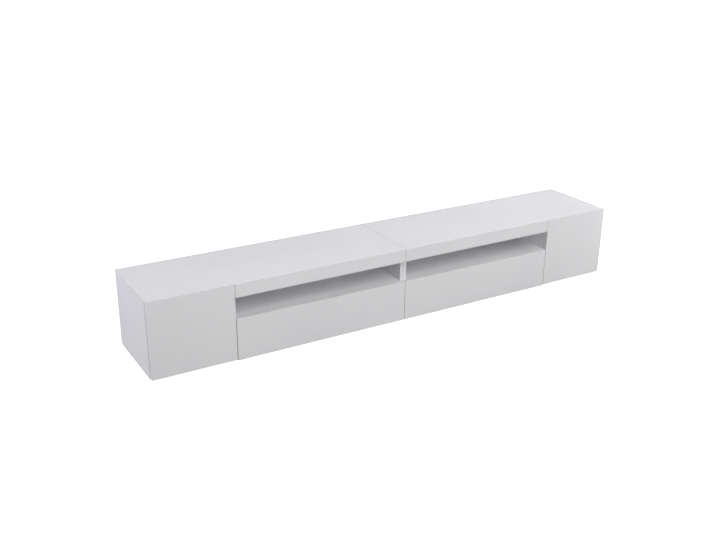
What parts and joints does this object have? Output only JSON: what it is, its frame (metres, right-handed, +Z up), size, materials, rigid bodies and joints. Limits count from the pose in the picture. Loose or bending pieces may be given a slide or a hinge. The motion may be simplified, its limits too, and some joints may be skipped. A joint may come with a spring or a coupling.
{
  "type": "tv lowboard",
  "caption": "Long low white TV lowboard with handleless fronts: hinged doors at the ends, open compartments over wide drawers between them, opened by push latches.",
  "frame": {"origin": "on the floor under the middle of the lowboard, the bottom centre of its box", "axes": "+X along the lowboard towards the right cabinet as seen from the front, +Y towards the wall behind it, +Z up; the fronts face -Y"},
  "size_m": [2.4, 0.4, 0.3504],
  "materials": {
    "white_board": "white satin lacquer on board",
    "drawer_board": "white foil on board",
    "hardboard": "white printed hardboard",
    "nickel": "nickel plate",
    "zinc": "zinc plate",
    "grey_plastic": "moulded, matt",
    "pale_plastic": "moulded, satin",
    "dark_plastic": "moulded, matt"
  },
  "bodies": {
    "carcass": {"left_top_panel": "white_board", "left_bottom_panel": "white_board", "left_outer_side": "white_board", "left_inner_side": "white_board", "left_partition": "white_board", "left_open_shelf": "white_board", "left_back_panel": "hardboard", "left_fascia": "white_board", "left_outer_glide": "dark_plastic", "left_middle_glide": "dark_plastic", "left_inner_glide": "dark_plastic", "left_upper_hinge_arm": "nickel", "left_lower_hinge_arm": "nickel", "left_door_latch_housing": "grey_plastic", "left_drawer_latch_housing": "grey_plastic", "left_outer_cabinet_runner": "zinc", "left_inner_cabinet_runner": "zinc", "right_top_panel": "white_board", "right_bottom_panel": "white_board", "right_outer_side": "white_board", "right_inner_side": "white_board", "right_partition": "white_board", "right_open_shelf": "white_board", "right_back_panel": "hardboard", "right_fascia": "white_board", "right_outer_glide": "dark_plastic", "right_middle_glide": "dark_plastic", "right_inner_glide": "dark_plastic", "right_upper_hinge_arm": "nickel", "right_lower_hinge_arm": "nickel", "right_door_latch_housing": "grey_plastic", "right_drawer_latch_housing": "grey_plastic", "right_outer_cabinet_runner": "zinc", "right_inner_cabinet_runner": "zinc", "front_joining_bolt": "nickel", "rear_joining_bolt": "nickel"},
    "left_door_unit": {"left_door": "white_board", "left_upper_hinge_cup": "nickel", "left_lower_hinge_cup": "nickel"},
    "right_door_unit": {"right_door": "white_board", "right_upper_hinge_cup": "nickel", "right_lower_hinge_cup": "nickel"},
    "left_drawer_unit": {"left_drawer_front": "white_board", "left_drawer_outer_side": "drawer_board", "left_drawer_inner_side": "drawer_board", "left_drawer_back": "drawer_board", "left_drawer_bottom": "hardboard", "left_outer_drawer_runner": "zinc", "left_inner_drawer_runner": "zinc"},
    "right_drawer_unit": {"right_drawer_front": "white_board", "right_drawer_outer_side": "drawer_board", "right_drawer_inner_side": "drawer_board", "right_drawer_back": "drawer_board", "right_drawer_bottom": "hardboard", "right_outer_drawer_runner": "zinc", "right_inner_drawer_runner": "zinc"},
    "left_door_plunger_unit": {"left_door_latch_plunger": "pale_plastic"},
    "right_door_plunger_unit": {"right_door_latch_plunger": "pale_plastic"},
    "left_drawer_plunger_unit": {"left_drawer_latch_plunger": "pale_plastic"},
    "right_drawer_plunger_unit": {"right_drawer_latch_plunger": "pale_plastic"}
  },
  "joints": [
    {"name": "left_door_hinge", "type": "hinge", "parent": "carcass", "child": "left_door_unit", "pos_m": [-1.192, -0.193, 0.1], "axis": [0, 0, -1], "range_deg": [0, 95]},
    {"name": "right_door_hinge", "type": "hinge", "parent": "carcass", "child": "right_door_unit", "pos_m": [1.192, -0.193, 0.1], "axis": [0, 0, 1], "range_deg": [0, 95]},
    {"name": "left_drawer_slide", "type": "slide", "parent": "carcass", "child": "left_drawer_unit", "axis": [0, -1, 0], "range_m": [0, 0.25]},
    {"name": "right_drawer_slide", "type": "slide", "parent": "carcass", "child": "right_drawer_unit", "axis": [0, -1, 0], "range_m": [0, 0.25]},
    {"name": "left_door_latch_push", "type": "slide", "parent": "carcass", "child": "left_door_plunger_unit", "axis": [0, 1, 0], "range_m": [0, 0.003], "stiffness_N_per_m": 300},
    {"name": "right_door_latch_push", "type": "slide", "parent": "carcass", "child": "right_door_plunger_unit", "axis": [0, 1, 0], "range_m": [0, 0.003], "stiffness_N_per_m": 300},
    {"name": "left_drawer_latch_push", "type": "slide", "parent": "carcass", "child": "left_drawer_plunger_unit", "axis": [0, 1, 0], "range_m": [0, 0.003], "stiffness_N_per_m": 300},
    {"name": "right_drawer_latch_push", "type": "slide", "parent": "carcass", "child": "right_drawer_plunger_unit", "axis": [0, 1, 0], "range_m": [0, 0.003], "stiffness_N_per_m": 300}
  ]
}
